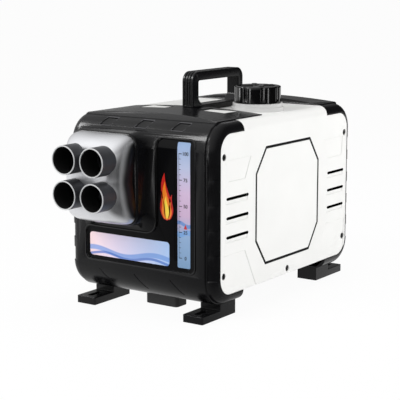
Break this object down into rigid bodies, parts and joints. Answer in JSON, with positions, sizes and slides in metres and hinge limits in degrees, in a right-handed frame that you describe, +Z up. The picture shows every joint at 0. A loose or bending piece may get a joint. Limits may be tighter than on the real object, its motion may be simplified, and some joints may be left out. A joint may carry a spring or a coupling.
{
  "type": "parking heater",
  "caption": "Portable diesel parking heater: box with fuel tank, gauge, carry handle, screw cap, slotted feet and round hot-air outlets in a front hood.",
  "frame": {"origin": "on the floor plane under the centre of the body", "axes": "+Y runs from the outlet front to the rear, +X to the filler side, +Z up"},
  "size_m": [0.2627, 0.489, 0.3405],
  "materials": {
    "charcoal_plastic": "satin charcoal black moulded plastic",
    "white_plastic": "satin white moulded plastic",
    "black_gloss": "glossy black moulded plastic",
    "black_trim": "black trim strip",
    "silver_paint": "silver paint",
    "dark_metal": "dark grey painted metal with a bright mouth",
    "steel": "plain zinc plated steel",
    "black_steel": "black powder coated steel",
    "tank_plastic": "natural translucent polyethylene",
    "rubber": "black rubber",
    "label_film": "printed label film",
    "gauge_film": "printed gauge film",
    "flame_film": "printed sticker film",
    "smoked_clear": "smoked clear plastic",
    "cast_aluminium": "plain cast aluminium",
    "board": "green circuit board",
    "display": "dark display window"
  },
  "bodies": {
    "housing": {"front_cover": "charcoal_plastic", "rear_cover": "charcoal_plastic", "right_shell": "white_plastic", "left_shell": "white_plastic", "right_trim": "black_trim", "left_trim": "black_trim", "side_screws": "steel", "base_plate": "black_steel", "foot_front_right": "charcoal_plastic", "foot_front_left": "charcoal_plastic", "foot_rear_right": "charcoal_plastic", "foot_rear_left": "charcoal_plastic", "foot_screws": "steel", "centre_foot": "rubber", "outlet_hood": "silver_paint", "outlet_pipe_1": "dark_metal", "outlet_pipe_2": "dark_metal", "outlet_pipe_3": "dark_metal", "outlet_pipe_4": "dark_metal", "carry_handle": "charcoal_plastic", "handle_screws": "steel", "fuel_tank": "tank_plastic", "tank_cradle": "charcoal_plastic", "gauge_window": "smoked_clear", "gauge_scale": "gauge_film", "front_label": "label_film", "flame_sticker": "flame_film", "heater_upper_case": "charcoal_plastic", "heater_lower_case": "charcoal_plastic", "heat_exchanger": "cast_aluminium", "combustion_chamber": "steel", "glow_plug": "steel", "overheat_sensor": "black_trim", "blower_motor": "cast_aluminium", "control_unit": "black_trim", "exhaust_pipe": "steel", "combustion_air_pipe": "steel", "flange_gasket": "rubber", "heater_saddles": "black_steel", "outlet_duct": "steel", "fuel_pump": "steel", "pump_clamp": "rubber", "fuel_filter": "tank_plastic", "fuel_hoses": "rubber", "panel_bezel": "charcoal_plastic", "display_window": "display", "panel_board": "board", "intake_grille": "charcoal_plastic", "cable_gland": "black_trim"},
    "cap_seal": {"cap_gasket": "rubber"},
    "cap": {"fuel_cap": "black_gloss"},
    "rotor": {"motor_shaft": "steel", "combustion_impeller": "cast_aluminium", "heating_fan": "charcoal_plastic"},
    "key_power": {"button_power": "rubber"},
    "key_up": {"button_up": "rubber"},
    "key_down": {"button_down": "rubber"},
    "key_set": {"button_set": "rubber"}
  },
  "joints": [
    {"name": "cap_rise", "type": "slide", "parent": "housing", "child": "cap_seal", "axis": [0, 0, 1], "range_m": [0, 0.0151]},
    {"name": "cap_turn", "type": "hinge", "parent": "cap_seal", "child": "cap", "pos_m": [0.07, 0.008, 0.3], "axis": [0, 0, 1], "range_deg": [0, 900]},
    {"name": "rotor_spin", "type": "hinge", "parent": "housing", "child": "rotor", "pos_m": [-0.045, 0.1, 0.202], "axis": [0, 1, 0], "continuous": true},
    {"name": "power_press", "type": "slide", "parent": "housing", "child": "key_power", "axis": [1, 0, 0], "range_m": [0, 0.0015], "stiffness_N_per_m": 200},
    {"name": "up_press", "type": "slide", "parent": "housing", "child": "key_up", "axis": [1, 0, 0], "range_m": [0, 0.0015], "stiffness_N_per_m": 200},
    {"name": "down_press", "type": "slide", "parent": "housing", "child": "key_down", "axis": [1, 0, 0], "range_m": [0, 0.0015], "stiffness_N_per_m": 200},
    {"name": "set_press", "type": "slide", "parent": "housing", "child": "key_set", "axis": [1, 0, 0], "range_m": [0, 0.0015], "stiffness_N_per_m": 200}
  ],
  "couplings": [
    {"joint": "cap_rise", "follows": "cap_turn", "m_per_rad": 0.00095493}
  ]
}
